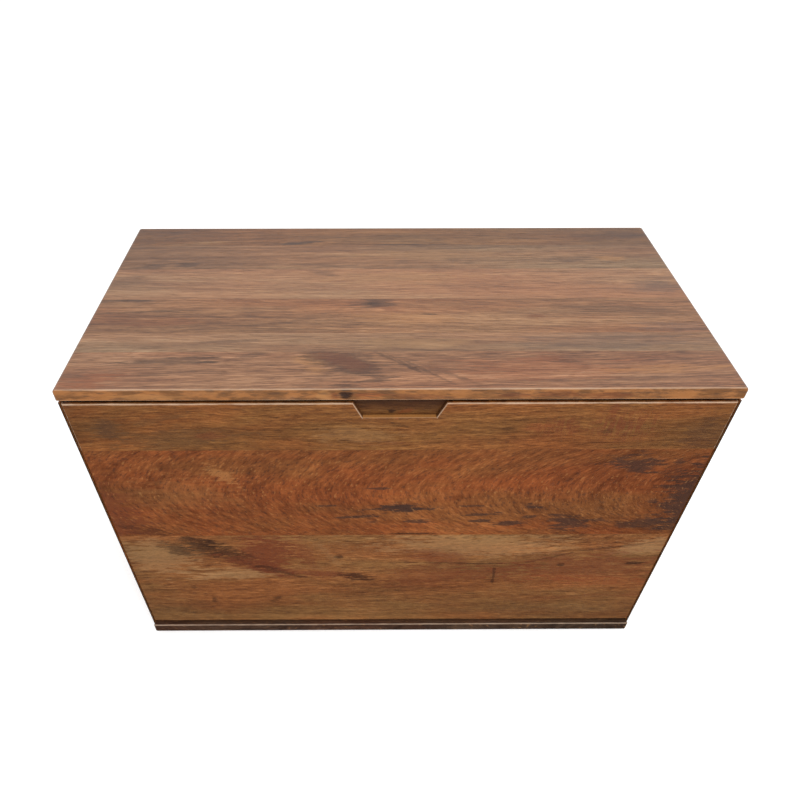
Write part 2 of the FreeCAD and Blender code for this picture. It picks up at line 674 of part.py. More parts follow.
def screws():
    """All the screws, one node for each set."""
    short, medium, long = (wood_screw("screw_%s" % name, "Sizes.screw_%s" % name)
                           for name in ("short", "medium", "long"))
    up = Vector(0, 0, 1)
    down = Vector(0, 0, -1)
    outward = Vector(-1, 0, 0)
    forward = Vector(0, -1, 0)
    thick = size("leaf_thick")

    holes = hinge_holes(-size("hinge_at"))
    spots = [(Vector(x, y, body_top + thick), down) for x, y in holes]
    group("hinge_screws_body", short, both_ends(spots))
    spots = [(Vector(x, y, lid_under - thick), up) for x, y in holes]
    group("hinge_screws_lid", short, both_ends(spots))

    spots = [(Vector(plate_x + size("plate_thick"), foot.y, foot.z + way * size("plate_hole_at")),
              outward) for way in (-1, 1)]
    group("stay_screws_body", short, both_ends(spots))
    spots = [(Vector(x, y, lid_under - size("plate_thick")), up) for x, y in angle_holes()]
    group("stay_screws_lid", short, both_ends(spots))

    # one screw through each batten into every lid board that it crosses
    widths = [size("lid_strip_%s" % letter) for letter in "abcde"]
    widths.append(size("body_depth") + size("lid_over") - sum(widths))
    batten_ends = (inner_front + size("batten_clear"), inner_back - size("batten_clear"))
    spots = []
    seam = front_y - size("lid_over")
    for wide in widths:
        crossed = (max(seam, batten_ends[0]) + min(seam + wide, batten_ends[1])) / 2
        seam += wide
        spots.append((Vector(-size("batten_at"), crossed, lid_under - size("batten_thick")), up))
    group("batten_screws", medium, both_ends(spots))

    # from the back of each front post into the front panel
    middle = -inner_side + size("post") / 2
    rows = [base_top + size("panel_row_first") + size("panel_row_pitch") * row
            for row in range(SCREW_ROWS)]
    face = inner_front + size("post")
    group("panel_screws", long, both_ends([(Vector(middle, face, row), forward) for row in rows]))

    # from under the base up into the side boards
    middle = -half + size("board") / 2
    rows = [front_y + size("base_row_first") + size("base_row_pitch") * row
            for row in range(SCREW_ROWS)]
    spots = [(Vector(middle, row, size("glide_high")), up) for row in rows]
    group("base_screws", long, both_ends(spots))


def small_fittings():
    """Rubber buttons that the lid closes on, and glides under the base."""
    disc = cylinder("button_disc", "Sizes.button", "Sizes.button_high", Vector(0, 0, 0))
    button = rounded("button_whole", disc, size("button_round"), ["z+z+"])
    up = Vector(0, 0, 1)
    middle = -half + size("board") / 2
    spots = [(Vector(middle, inner_front + size("button_behind"), body_top), up)]
    group("lid_buttons", button, both_ends(spots))

    disc = cylinder("glide_disc", "Sizes.glide_wide", "Sizes.glide_high", Vector(0, 0, 0))
    glide = rounded("glide_whole", disc, size("glide_round"), ["z-z-"])
    inset = size("glide_inset")
    spots = []
    for spot_y in (front_y + inset, back_y - inset):
        spots.append((Vector(-half + inset, spot_y, 0), up))
    group("floor_glides", glide, both_ends(spots))


base_boards()
side_boards()
front_boards()
back_boards()
corner_posts()
lid_boards()
lid_battens()
hinges()
lid_stays()
screws()
small_fittings()

# -------------------------------------------------------------- check and write
doc.recompute()
for item in doc.Objects:
    if "Invalid" in item.State or "Error" in item.State:
        raise RuntimeError("%s did not recompute: %s" % (item.Label, item.State))
for item in nodes:
    if item.Shape.isNull() or not item.Shape.isValid():
        raise RuntimeError("%s has no valid shape" % item.Label)

os.makedirs("parts", exist_ok=True)
for item in nodes:
    item.Shape.exportStep("parts/%s.step" % item.Label)
print("%d sub-parts written" % len(nodes))
for spot, point in (("foot", foot), ("elbow", elbow), ("eye", eye)):
    print("stay %s pivot at y %.2f, z %.2f" % (spot, point.y, point.z))
print("hinge pin at y %.2f, z %.2f" % (hinge_y, hinge_z))
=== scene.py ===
"""Looks of the wooden toy box: procedural timber, metals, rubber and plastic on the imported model,
with a plain pale studio around it. Lengths are in metres, in the same frame as the CAD."""
import math

import bpy
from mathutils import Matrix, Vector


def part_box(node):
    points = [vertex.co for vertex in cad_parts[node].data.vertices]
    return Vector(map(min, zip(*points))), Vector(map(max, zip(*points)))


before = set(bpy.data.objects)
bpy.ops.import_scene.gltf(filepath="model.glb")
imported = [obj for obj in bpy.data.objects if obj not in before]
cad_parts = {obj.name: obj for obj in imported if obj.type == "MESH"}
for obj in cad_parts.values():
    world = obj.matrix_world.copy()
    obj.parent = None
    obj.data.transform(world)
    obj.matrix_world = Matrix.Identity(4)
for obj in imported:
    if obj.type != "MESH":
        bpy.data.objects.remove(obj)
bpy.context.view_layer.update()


# ---------------------------------------------------------------- short calls for shader nodes
class Graph:
    """A node tree with one short call for each kind of node used here."""

    def __init__(self, tree):
        self.tree = tree

    def put(self, socket, value):
        """Links a socket to an input, or sets the input's own value."""
        if isinstance(value, bpy.types.NodeSocket):
            self.tree.links.new(value, socket)
        elif value is not None:
            socket.default_value = value

    def node(self, kind, values=None, **settings):
        """A new node. values go to its inputs, by name or number, and settings to its attributes."""
        made = self.tree.nodes.new(kind)
        for name, value in settings.items():
            setattr(made, name, value)
        for key, value in (values or {}).items():
            self.put(made.inputs[key], value)
        return made

    def math(self, operation, *values, clamp=False):
        made = self.node("ShaderNodeMath", dict(enumerate(values)), operation=operation)
        made.use_clamp = clamp
        return made.outputs[0]

    def vector(self, operation, *values):
        made = self.node("ShaderNodeVectorMath", dict(enumerate(values)), operation=operation)
        return made.outputs["Value" if operation == "LENGTH" else "Vector"]

    def join(self, x, y, z):
        return self.node("ShaderNodeCombineXYZ", {0: x, 1: y, 2: z}).outputs[0]

    def split(self, vector):
        made = self.node("ShaderNodeSeparateXYZ", {0: vector})
        return made.outputs[0], made.outputs[1], made.outputs[2]

    def noise(self, vector, stretch, detail=2.0, roughness=0.5):
        """Noise about 0.5. stretch is how many features fit in a metre along each axis."""
        scaled = self.vector("MULTIPLY", vector, stretch)
        values = {"Vector": scaled, "Scale": 1.0, "Detail": detail, "Roughness": roughness}
        return self.node("ShaderNodeTexNoise", values, noise_dimensions="3D").outputs[0]

    def step(self, value, low, high, start=0.0, end=1.0):
        """A smooth step from start, where value is low, to end, where it is high."""
        values = {"Value": value, 1: low, 2: high, 3: start, 4: end}
        return self.node("ShaderNodeMapRange", values, interpolation_type="SMOOTHSTEP").outputs[0]

    def mix(self, share, first, second, blend="MIX"):
        """A mix of two colours. The node's colour sockets are inputs 6 and 7 and output 2."""
        made = self.node("ShaderNodeMix", {0: share, 6: first, 7: second}, data_type="RGBA",
                         blend_type=blend)
        return made.outputs[2]

    def ramp(self, value, stops):
        """A colour ramp from (position, colour) stops."""
        made = self.node("ShaderNodeValToRGB", {0: value})
        elements = made.color_ramp.elements
        while len(elements) < len(stops):
            elements.new(0.5)
        for element, (position, colour) in zip(elements, stops):
            element.position = position
            element.color = colour
        return made.outputs[0]

    def group(self, tree, values):
        """A node group with its inputs set. Returns its output sockets."""
        made = self.node("ShaderNodeGroup")
        made.node_tree = tree
        for key, value in values.items():
            self.put(made.inputs[key], value)
        return made.outputs


def new_group(name, inputs, outputs):
    """An empty node group with float and vector sockets. Returns its graph and its input sockets."""
    tree = bpy.data.node_groups.new(name, "ShaderNodeTree")
    for direction, sockets in (("INPUT", inputs), ("OUTPUT", outputs)):
        for label, kind in sockets:
            tree.interface.new_socket(label, in_out=direction, socket_type="NodeSocket" + kind)
    graph = Graph(tree)
    return graph, graph.node("NodeGroupInput").outputs, graph.node("NodeGroupOutput").inputs


def linear(red, green, blue):
    """A display colour, 0 to 255, as the linear colour that the shader needs."""
    channels = []
    for value in (red, green, blue):
        share = value / 255
        share = share / 12.92 if share <= 0.04045 else ((share + 0.055) / 1.055) ** 2.4
        channels.append(min(share, 1.0))
    return (*channels, 1.0)


def tinted(tint, factors):
    """A display colour with each channel scaled, as a linear colour."""
    return linear(*(part * factor for part, factor in zip(tint, factors)))


# ---------------------------------------------------------------- timber
# How many features of each noise fit in a metre. A board's own noises run along it, across it and
# through it. Ringed noises run along it, outwards from the pith and across it.
WANDER_SCALE = (2.6, 7.0, 7.0)
RIPPLE_SCALE = (14.0, 30.0, 30.0)
BLOTCH_SCALE = (5.0, 15.0, 15.0)
HUE_SCALE = (3.4, 12.0, 12.0)
MOTTLE_SCALE = (40.0, 200.0, 200.0)
RAGGED_SCALE = (34.0, 190.0, 190.0)
CURL_SCALE = (230.0, 26.0, 26.0)
RING_BROAD_SCALE = (1.6, 30.0, 1.6)
RING_STREAK_SCALE = (5.0, 150.0, 5.0)
RING_FIBRE_SCALE = (46.0, 600.0, 46.0)
RING_DASH_SCALE = (120.0, 1300.0, 120.0)

# How far each unit of seed moves a board through the noises, and how far Hue is from the others.
SEED_OFFSET = (7.13, 3.71, 5.37)
SEED_RING_OFFSET = 1.31
HUE_OFFSET = (3.0, 5.0, 7.0)

# The range, in metres, over which the rings wander and ripple, before Waviness scales it.
WANDER = 0.060
RIPPLE = 0.006


def timber_group():
    """Grain of one board sawn from a log. Place is (along, across, depth) from the board's middle.
    The log's pith runs beside the board, Pith across and Pith depth away, and sinks by Pith tilt for
    each metre, which gives straight grain far from the pith and nested arches over it. Waviness
    scales how far the rings wander, and Shortness below 1 stretches the figure along the board.
    Tone is the grain's light and dark about 0.5. Ragged, Fibre and Hue are fine, finer and slow
    noises about 0.5. Pores, Flecks, Curl and Streak are shares from 0 to 1."""
    graph, given, result = new_group(
        "timber",
        [("Place", "Vector"), ("Seed", "Float"), ("Pith across", "Float"), ("Pith depth", "Float"),
         ("Pith tilt", "Float"), ("Waviness", "Float"), ("Shortness", "Float")],
        [("Tone", "Float"), ("Pores", "Float"), ("Fibre", "Float"), ("Ragged", "Float"),
         ("Hue", "Float"), ("Flecks", "Float"), ("Curl", "Float"), ("Streak", "Float")],
    )
    offset = graph.vector("SCALE", SEED_OFFSET)
    graph.put(offset.node.inputs["Scale"], given["Seed"])
    along, across, depth = graph.split(given["Place"])
    short = graph.math("MULTIPLY", along, given["Shortness"])
    seeded = graph.vector("ADD", graph.join(short, across, depth), offset)

    wander = graph.noise(seeded, WANDER_SCALE, detail=2.0)
    ripple = graph.noise(seeded, RIPPLE_SCALE, detail=1.0)
    bend = graph.math("MULTIPLY_ADD", wander, WANDER, -WANDER / 2)
    bend = graph.math("ADD", bend, graph.math("MULTIPLY_ADD", ripple, RIPPLE, -RIPPLE / 2))
    bend = graph.math("MULTIPLY", bend, given["Waviness"])
    side = graph.math("ADD", graph.math("SUBTRACT", across, given["Pith across"]), bend)
    sunk = graph.math("MULTIPLY_ADD", along, given["Pith tilt"], given["Pith depth"])
    sunk = graph.math("ADD", graph.math("ADD", sunk, depth), graph.math("MULTIPLY", bend, 0.5))
    radius = graph.math("SQRT", graph.math("ADD", graph.math("MULTIPLY", side, side),
                                           graph.math("MULTIPLY", sunk, sunk)))
    seed_shift = graph.math("MULTIPLY", given["Seed"], SEED_RING_OFFSET)
    ringed = graph.join(graph.math("ADD", short, seed_shift), radius,
                        graph.math("ADD", across, seed_shift))

    broad = graph.noise(ringed, RING_BROAD_SCALE, detail=2.0, roughness=0.55)
    streak = graph.noise(ringed, RING_STREAK_SCALE, detail=4.0, roughness=0.68)
    fibre = graph.noise(ringed, RING_FIBRE_SCALE, detail=3.0, roughness=0.75)
    dashes = graph.noise(ringed, RING_DASH_SCALE, detail=1.0, roughness=0.5)
    mottle = graph.noise(seeded, MOTTLE_SCALE, detail=4.0, roughness=0.7)
    blotch = graph.noise(seeded, BLOTCH_SCALE, detail=3.0, roughness=0.6)
    ragged = graph.noise(seeded, RAGGED_SCALE, detail=5.0, roughness=0.72)
    bands = graph.noise(seeded, CURL_SCALE, detail=2.0, roughness=0.6)
    hue = graph.noise(graph.vector("ADD", seeded, HUE_OFFSET), HUE_SCALE, detail=4.0, roughness=0.6)

    tone = 0.5
    for layer, weight in ((broad, 0.42), (streak, 0.60), (fibre, 1.10), (mottle, 0.34), (blotch, 0.42)):
        tone = graph.math("MULTIPLY_ADD", graph.math("SUBTRACT", layer, 0.5), weight, tone)
    # Pores are the brightest dashes, and more of them where the blotches are bright.
    crowd = graph.math("MULTIPLY_ADD", blotch, -0.16, 0.70)
    outputs = {
        "Tone": tone,
        "Pores": graph.step(graph.math("SUBTRACT", dashes, crowd), -0.03, 0.05),
        "Fibre": fibre,
        "Ragged": ragged,
        "Hue": hue,
        "Flecks": graph.step(dashes, 0.36, 0.27),
        "Curl": graph.math("MULTIPLY", graph.step(bands, 0.42, 0.56), graph.step(ragged, 0.30, 0.52)),
        "Streak": graph.step(streak, 0.38, 0.62),
    }
    for label, socket in outputs.items():
        graph.put(result[label], socket)
    return graph.tree


def arris_group():
    """Distance from a box's nearest edge line, for a point on its surface: the middle one of the
    three distances to its faces."""
    graph, given, result = new_group(
        "arris", [("Place", "Vector"), ("Half size", "Vector")], [("Distance", "Float")])
    gaps = graph.vector("SUBTRACT", given["Half size"], graph.vector("ABSOLUTE", given["Place"]))
    first, second, third = graph.split(gaps)
    low = graph.math("MINIMUM", graph.math("MINIMUM", first, second), third)
    high = graph.math("MAXIMUM", graph.math("MAXIMUM", first, second), third)
    total = graph.math("ADD", graph.math("ADD", first, second), third)
    graph.put(result["Distance"], graph.math("SUBTRACT", graph.math("SUBTRACT", total, low), high))
    return graph.tree


TIMBER = timber_group()
ARRIS = arris_group()

# Which row-frame axes run along, across and through a board.
GRAIN_AXES = {
    "lid": (0, 1, 2),
    "front": (0, 2, 1),
    "back": (0, 2, 1),
    "side": (1, 2, 0),
    "post": (2, 0, 1),
    "batten": (1, 0, 2),
    "base": (0, 1, 2),
}

UMBER = linear(46, 27, 19)
MINERAL = linear(62, 42, 34)
SLATE = linear(80, 66, 62)
RUSSET = linear(104, 52, 28)
RUST = linear(136, 70, 34)
HONEY = linear(170, 118, 66)
STRAW = linear(160, 122, 80)
OLIVE = linear(92, 62, 36)
PALE = linear(196, 168, 142)
GAP_SHADE = linear(22, 15, 11)

# A tone of the grain, and what it multiplies the red, green and blue of the board's tint by.
TINT_RAMP = [
    (0.12, (0.58, 0.52, 0.50)),
    (0.36, (0.86, 0.83, 0.82)),
    (0.56, (1.05, 1.06, 1.04)),
    (0.86, (1.32, 1.42, 1.50)),
]

# A board's ends start to fade at this share of its half length from its middle.
END_FADE = 0.35

# The lid's figure is stretched along its boards.
LID_SHORTNESS = 0.45

# A mark fades in from the first share of its half size to the second. The ragged noise, from 0 to 1,
# moves its edge by RAGGEDNESS of that size in all. ELLIPSE_DEPTH, in metres, is as good as no limit
# through the board.
MARK_EDGE = (1.08, 0.55)
RAGGEDNESS = 4.2
ELLIPSE_DEPTH = 1000

# The line along an arris, where the boards get a painted highlight or wear, fades in over these
# distances from it. The ragged noise moves it by the drift below in all.
ARRIS_LINE_REACH = (0.0024, 0.0004)
ARRIS_LINE_DRIFT = 0.003

# What end grain, the painted shade on the side boards' front lips and the lightened arris line,
# which is partly wear and partly a painted highlight, multiply the board's tint by.
END_GRAIN = (0.50, 0.44, 0.42)
# Painted shade: makes the side boards' front lips nearly black beside the front panel.
FRONT_LIP_PAINTED_SHADE = (0.16, 0.13, 0.12)
# Lightening along the arrises: partly wear, partly a painted highlight.
ARRIS_WEAR_AND_HIGHLIGHT = (1.16, 1.16, 1.16)

# The shading round the finger pull fades in over these pairs of distances. TOP_DROPS are below the
# front panel's top, RECESS_HEIGHTS up from its upper board's middle and RIM_ENDS out from the pull's
# middle. The others are in from the panel's face.
TOP_DROPS = (0.006, 0.003)
GAP_STARTS = (0.0030, 0.0060)
RECESS_STARTS = (0.0060, 0.0074)
RECESS_ENDS = (0.0100, 0.0086)
RECESS_HEIGHTS = (0.014, 0.046)
RIM_DEPTHS = (0.0024, 0.0010)
RIM_ENDS = (0.072, 0.068)

# How far a board's colour drifts towards red-brown and towards olive, as factors.
HUES = {
    "lid": ((1.07, 0.96, 0.88, 1), (0.94, 1.03, 1.04, 1)),
    "body": ((1.12, 0.92, 0.78, 1), (0.93, 1.01, 0.96, 1)),
}


class Board:
    """What one board looks like. kind picks its grain axes, and tint is its display colour. pith is
    (across, depth, tilt) of the log's middle: metres from the board's middle, and metres per metre.
    contrast scales the grain's light and dark. ends are how bright the board is at the low and the
    high end of its length, as factors. Marks are (along, across, half length, half width, slant,
    colour, strength, pattern): millimetres in the row's frame, the slant in degrees, and pattern an
    output of the timber group that breaks the mark up. skin is the display colour of its long narrow
    faces. trim is (colour, strength) of the line along its arrises: a pale one is a painted highlight
    on the rounded arris and a dark one darkens it. Without trim the arris is lightened, partly as wear
    and partly as a painted highlight. waviness scales how far its rings wander."""

    def __init__(self, kind, tint, seed, pith, contrast=1.0, ends=(1.0, 1.0), marks=(), skin=None,
                 trim=None, waviness=1.0):
        self.kind = kind
        self.tint = tint
        self.seed = seed
        self.pith = pith
        self.contrast = contrast
        self.ends = ends
        self.marks = marks
        self.skin = skin
        self.trim = trim
        self.waviness = waviness


BOARDS = {
    "lid_board_1": Board("lid", (135, 90, 63), 1.0, (0.10, 0.06, 0.03), 1.25, (0.95, 0.98), [
        (-400, -199, 50, 15, 8, RUST, 0.45, None),
        (190, -180, 130, 26, 2, RUST, 0.30, None),
        (356, -181, 90, 9, 2, HONEY, 0.40, "Streak"),
        (-312, -165, 76, 10, 6, UMBER, 0.85, "Streak"),
        (-256, -164, 15, 4, 0, UMBER, 0.75, None),
        (-205, -152, 34, 9, 25, UMBER, 0.55, "Streak"),
        (-330, -190, 110, 4, 4, UMBER, 0.5, "Streak"),
        (-118, -166, 20, 30, 50, HONEY, 0.35, None),
        (-77, -163, 62, 24, -20, UMBER, 0.62, None),
        (-77, -163, 42, 14, -20, RUSSET, 0.45, None),
        (10, -172, 42, 3, -42, UMBER, 0.45, None),
        (34, -184, 50, 3, -38, UMBER, 0.42, None),
        (-10, -160, 44, 3, -36, UMBER, 0.45, None),
        (60, -188, 70, 4, -30, UMBER, 0.45, "Streak"),
        (-71, -214, 24, 8, 0, UMBER, 0.60, None),
        (-31, -202, 26, 5, 12, UMBER, 0.55, None),
        (-110, -205, 34, 8, 40, UMBER, 0.40, "Streak"),
        (234, -166, 28, 3, 0, UMBER, 0.55, None),
        (390, -159, 62, 4, 4, MINERAL, 0.75, "Streak"),
        (300, -152, 90, 3, 2, UMBER, 0.40, "Streak"),
        (190, -205, 160, 4, 3, UMBER, 0.35, "Streak"),
    ], skin=(142, 91, 45), trim=(PALE, 0.50)),
    "lid_board_2": Board("lid", (133, 98, 72), 2.0, (-0.30, 0.09, 0.02), 0.96, (0.94, 0.86), [
        (-238, -118, 46, 5, 4, MINERAL, 0.50, "Streak"),
        (-150, -106, 90, 3, 1, MINERAL, 0.40, "Streak"),
        (300, -120, 170, 22, 0, SLATE, 0.30, None),
        (320, -112, 120, 4, 2, MINERAL, 0.45, "Streak"),
        (30, -124, 90, 16, 0, STRAW, 0.30, None),
    ]),
    "lid_board_3": Board("lid", (131, 88, 59), 3.0, (0.18, 0.06, -0.05), 1.26, (0.86, 0.84), [
        (-398, -16, 60, 4, 1, MINERAL, 0.60, None),
        (-360, -45, 80, 3, 3, UMBER, 0.50, "Streak"),
        (-343, -71, 56, 16, 0, RUST, 0.18, None),
        (12, -63, 76, 18, 0, HONEY, 0.22, None),
        (-30, -27, 34, 15, 4, MINERAL, 0.62, None),
        (-33, -25, 14, 8, 0, UMBER, 0.55, None),
        (-10, -40, 24, 6, -12, RUSSET, 0.50, None),
        (-110, -52, 90, 5, 24, UMBER, 0.30, "Streak"),
        (50, -53, 16, 3, -4, UMBER, 0.60, None),
        (206, -58, 16, 5, 0, RUSSET, 0.45, None),
        (335, -42, 130, 17, -4, UMBER, 0.50, "Streak"),
        (-130, -94, 100, 5, 0, UMBER, 0.50, "Streak"),
        (410, -86, 60, 14, 0, SLATE, 0.35, None),
    ]),
    "lid_board_4": Board("lid", (145, 103, 74), 4.0, (-0.34, 0.10, 0.03), 0.90, (0.83, 0.90), [
        (-418, 38, 34, 15, 0, MINERAL, 0.32, None),
        (-112, 62, 36, 8, -22, MINERAL, 0.32, None),
        (118, 25, 90, 8, -4, MINERAL, 0.20, None),
        (0, 48, 130, 18, 0, STRAW, 0.25, None),
        (412, 26, 44, 10, -6, MINERAL, 0.42, "Streak"),
        (410, 20, 50, 16, 0, SLATE, 0.30, None),
    ]),
    "lid_board_5": Board("lid", (122, 87, 61), 5.0, (0.22, 0.08, 0.04), 1.08, (0.72, 0.88), [
        (-392, 83, 34, 9, 6, MINERAL, 0.55, None),
        (-338, 87, 26, 9, 10, MINERAL, 0.55, None),
        (-290, 98, 110, 24, 0, MINERAL, 0.26, None),
        (31, 79, 90, 6, 3, MINERAL, 0.55, "Streak"),
        (-100, 85, 60, 5, -6, MINERAL, 0.40, "Streak"),
        (12, 97, 18, 9, 30, MINERAL, 0.26, None),
        (101, 102, 16, 9, 0, MINERAL, 0.34, None),
        (124, 94, 14, 6, 0, MINERAL, 0.28, None),
        (290, 103, 44, 9, 3, MINERAL, 0.55, "Streak"),
        (360, 107, 24, 9, 0, HONEY, 0.35, None),
        (60, 118, 150, 16, 0, STRAW, 0.22, None),
    ]),
    "lid_board_6": Board("lid", (116, 77, 47), 6.0, (-0.20, 0.07, -0.03), 1.08, (0.80, 0.90), [
        (-160, 160, 34, 5, 8, MINERAL, 0.80, None),
        (25, 154, 100, 3, 0, MINERAL, 0.65, None),
        (81, 169, 14, 6, 0, MINERAL, 0.34, None),
        (-322, 162, 66, 5, 10, STRAW, 0.40, "Streak"),
        (-400, 170, 50, 5, 24, MINERAL, 0.40, "Streak"),
        (-390, 192, 60, 8, 20, MINERAL, 0.35, "Streak"),
        (410, 190, 50, 14, 0, MINERAL, 0.35, None),
    ]),
    "front_board_upper": Board("front", (117, 73, 37), 7.0, (0.36, 0.05, 0.02), 1.1, (0.82, 0.80), [
        (-400, 540, 26, 24, 0, OLIVE, 0.62, None),
        (-400, 540, 14, 16, 0, MINERAL, 0.35, None),
        (-300, 524, 90, 22, 6, OLIVE, 0.50, None),
        (-262, 529, 26, 8, 8, RUSSET, 0.45, None),
        (-330, 560, 60, 7, 14, OLIVE, 0.40, None),
        (222, 543, 40, 20, 0, RUSSET, 0.70, "Curl"),
        (309, 547, 50, 32, 0, RUSSET, 0.75, "Curl"),
        (287, 536, 8, 5, 0, UMBER, 0.35, None),
        (316, 529, 14, 4, 0, UMBER, 0.30, "Curl"),
        (286, 575, 6, 18, 0, RUSSET, 0.60, None),
        (147, 541, 12, 3, 0, UMBER, 0.55, None),
        (188, 543, 18, 8, 0, RUST, 0.28, None),
        (0, 548, 16, 3, -12, UMBER, 0.45, None),
        (425, 528, 44, 34, 0, MINERAL, 0.34, None),
        (90, 515, 160, 6, 2, RUSSET, 0.35, "Streak"),
        (-60, 530, 60, 18, 0, STRAW, 0.18, None),
        (-11, 566, 6, 5, 0, UMBER, 0.85, None),
        (6, 566, 16, 4, 12, RUST, 0.60, None),
    ], trim=(PALE, 0.80)),
    "front_board_middle": Board("front", (118, 66, 32), 8.0, (0.007, 0.30, -0.17), 0.85, (0.92, 0.74), [
        (-440, 352, 56, 80, 20, RUSSET, 0.75, None),
        (-395, 312, 50, 14, -20, UMBER, 0.35, None),
        (-262, 451, 34, 12, -44, HONEY, 0.34, None),
        (-320, 402, 80, 46, 0, HONEY, 0.12, None),
        (-30, 415, 17, 3, 0, MINERAL, 0.70, None),
        (-105, 374, 18, 3, 0, MINERAL, 0.75, None),
        (8, 368, 60, 8, 2, MINERAL, 0.85, None),
        (10, 369, 34, 12, 0, MINERAL, 0.75, None),
        (-54, 348, 38, 4, 4, MINERAL, 0.75, None),
        (-38, 335, 15, 3, 0, MINERAL, 0.55, None),
        (35, 335, 30, 4, 0, MINERAL, 0.75, None),
        (25, 303, 32, 3, 0, UMBER, 0.75, None),
        (125, 373, 25, 3, 0, MINERAL, 0.70, None),
        (138, 353, 32, 4, 4, MINERAL, 0.80, None),
        (134, 336, 21, 4, 2, MINERAL, 0.80, None),
        (214, 371, 20, 6, 0, MINERAL, 0.85, None),
        (180, 330, 27, 6, 6, MINERAL, 0.78, None),
        (212, 345, 16, 5, 18, MINERAL, 0.70, None),
        (272, 334, 38, 22, -20, MINERAL, 0.74, None),
        (268, 328, 16, 30, -24, MINERAL, 0.35, None),
        (323, 337, 20, 5, 0, MINERAL, 0.60, None),
        (400, 331, 62, 15, 0, MINERAL, 0.72, None),
        (347, 467, 44, 20, -8, MINERAL, 0.78, None),
        (406, 473, 9, 8, 0, MINERAL, 0.65, None),
        (394, 385, 10, 7, 0, MINERAL, 0.60, None),
        (446, 388, 44, 84, 0, MINERAL, 0.85, None),
        (430, 450, 60, 40, 0, UMBER, 0.22, None),
    ], waviness=0.22),
    "front_board_lower": Board("front", (116, 75, 42), 9.0, (0.16, 0.07, 0.06), 1.15, (0.95, 0.92), [
        (-390, 240, 70, 54, 0, STRAW, 0.38, None),
        (-270, 194, 130, 17, 4, STRAW, 0.52, "Streak"),
        (-260, 186, 110, 12, 4, STRAW, 0.40, None),
        (130, 268, 170, 36, -2, STRAW, 0.38, None),
        (420, 262, 60, 26, 12, STRAW, 0.50, None),
        (-212, 252, 50, 54, -8, RUSSET, 0.92, None),
        (-358, 262, 30, 18, -36, UMBER, 0.62, None),
        (-313, 268, 46, 24, -40, UMBER, 0.66, None),
        (-268, 240, 84, 22, -42, UMBER, 0.60, "Streak"),
        (-256, 234, 80, 20, -40, UMBER, 0.55, None),
        (-225, 212, 70, 20, -26, RUSSET, 0.85, None),
        (-200, 200, 60, 8, -24, UMBER, 0.60, None),
        (-118, 188, 90, 11, -9, RUSSET, 0.75, None),
        (-60, 178, 34, 13, -16, UMBER, 0.72, None),
        (-92, 238, 8, 6, 0, UMBER, 0.60, None),
        (-110, 268, 60, 26, 0, OLIVE, 0.28, "Streak"),
        (-150, 250, 16, 46, 14, RUSSET, 0.45, None),
        (-104, 236, 8, 50, 30, STRAW, 0.13, None),
        (-353, 149, 6, 6, 0, UMBER, 0.55, None),
        (-323, 108, 5, 9, 0, UMBER, 0.50, None),
        (-209, 108, 15, 6, 22, UMBER, 0.62, None),
        (65, 240, 54, 20, -6, RUSSET, 0.55, None),
        (110, 219, 110, 3, -2, UMBER, 0.55, None),
        (262, 234, 70, 3, 22, UMBER, 0.50, None),
        (375, 266, 84, 3, 12, UMBER, 0.42, None),
        (330, 205, 160, 44, 4, RUSSET, 0.66, None),
        (160, 192, 90, 22, 10, RUSSET, 0.48, None),
        (286, 213, 8, 5, 0, UMBER, 0.60, None),
        (409, 217, 17, 7, 4, UMBER, 0.75, None),
        (175, 180, 3, 34, 2, UMBER, 0.55, None),
        (60, 186, 80, 40, 16, RUSSET, 0.45, None),
        (350, 165, 120, 16, -4, RUST, 0.35, None),
        (345, 112, 130, 9, 4, RUSSET, 0.58, "Streak"),
        (300, 66, 140, 30, 0, MINERAL, 0.36, "Streak"),
        (-350, 66, 110, 34, 0, MINERAL, 0.24, "Streak"),
        (60, 76, 80, 12, 30, OLIVE, 0.30, "Streak"),
        (120, 60, 60, 12, -30, OLIVE, 0.30, "Streak"),
        (-20, 62, 44, 12, 50, OLIVE, 0.30, "Streak"),
    ], trim=(UMBER, 0.45)),
    "back_board_upper": Board("back", (121, 79, 47), 10.0, (-0.28, 0.06, 0.03), 0.95, (0.9, 0.95), [
        (-180, 545, 60, 12, 4, RUSSET, 0.50, "Streak"),
        (240, 530, 22, 7, 0, MINERAL, 0.60, None),
        (60, 560, 120, 9, -2, STRAW, 0.30, None),
    ]),
    "back_board_middle": Board("back", (126, 80, 46), 11.0, (0.01, 0.28, 0.16), 0.9, (0.85, 0.95), [
        (-210, 370, 26, 9, 4, MINERAL, 0.65, None),
        (150, 430, 40, 6, -2, MINERAL, 0.60, None),
        (310, 360, 60, 30, 8, RUSSET, 0.40, None),
    ], waviness=0.22),
    "back_board_lower": Board("back", (116, 76, 46), 12.0, (0.20, 0.08, -0.04), 1.0, (0.95, 0.9), [
        (-60, 170, 70, 14, 14, RUSSET, 0.55, "Streak"),
        (-20, 160, 12, 8, 0, UMBER, 0.65, None),
        (260, 230, 130, 30, 0, STRAW, 0.35, None),
        (-330, 100, 60, 12, -8, MINERAL, 0.35, "Streak"),
    ]),
    "side_board_left_upper": Board("side", (122, 79, 46), 13.0, (0.24, 0.06, 0.05), 0.95, (0.9, 1.0), [
        (60, 540, 30, 7, 4, MINERAL, 0.55, "Streak"),
        (-90, 555, 70, 9, 0, STRAW, 0.30, None),
    ]),
    "side_board_left_middle": Board("side", (126, 77, 43), 14.0, (-0.04, 0.26, 0.20), 0.9, (1.0, 0.9), [
        (-40, 380, 26, 5, 0, MINERAL, 0.70, None),
        (30, 350, 18, 4, 4, MINERAL, 0.65, None),
        (120, 430, 50, 22, 0, RUSSET, 0.35, None),
    ], waviness=0.25),
